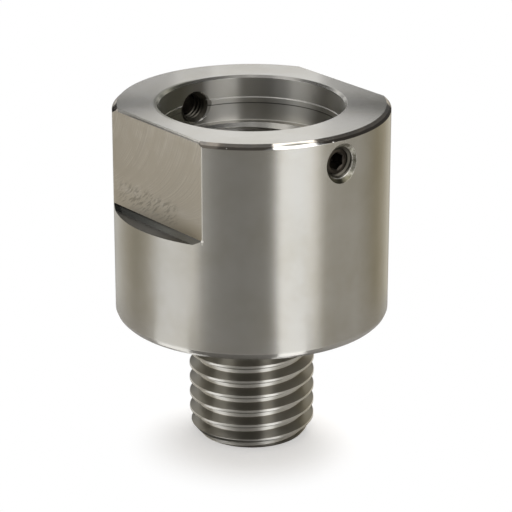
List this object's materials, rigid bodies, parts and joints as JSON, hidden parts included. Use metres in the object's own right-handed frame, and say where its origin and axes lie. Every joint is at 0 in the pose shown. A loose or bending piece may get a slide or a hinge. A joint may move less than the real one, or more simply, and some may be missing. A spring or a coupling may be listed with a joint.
{
  "type": "spindle thread adapter",
  "caption": "Turned steel cup with an internal spindle thread and register bore, wrench flats, two locking grub screws and a threaded stub under it.",
  "frame": {"origin": "centre of the stub's end face, on the turning axis", "axes": "+Z along the turning axis, out of the cup's mouth; the grub screws lie along X; the wrench flats face -Y and +Y"},
  "size_m": [0.0544, 0.0544, 0.0692],
  "materials": {
    "turned_steel": "turned and milled, oiled",
    "screw_steel": "dark hardened steel"
  },
  "bodies": {
    "adapter": {"adapter_body": "turned_steel"},
    "front_screw": {"grub_screw_front": "screw_steel"},
    "rear_screw": {"grub_screw_rear": "screw_steel"}
  },
  "joints": [
    {"name": "front_screw_travel", "type": "slide", "parent": "adapter", "child": "front_screw", "axis": [-1, 0, 0], "range_m": [-0.001, 0.003]},
    {"name": "rear_screw_travel", "type": "slide", "parent": "adapter", "child": "rear_screw", "axis": [1, 0, 0], "range_m": [0, 0.004]}
  ]
}
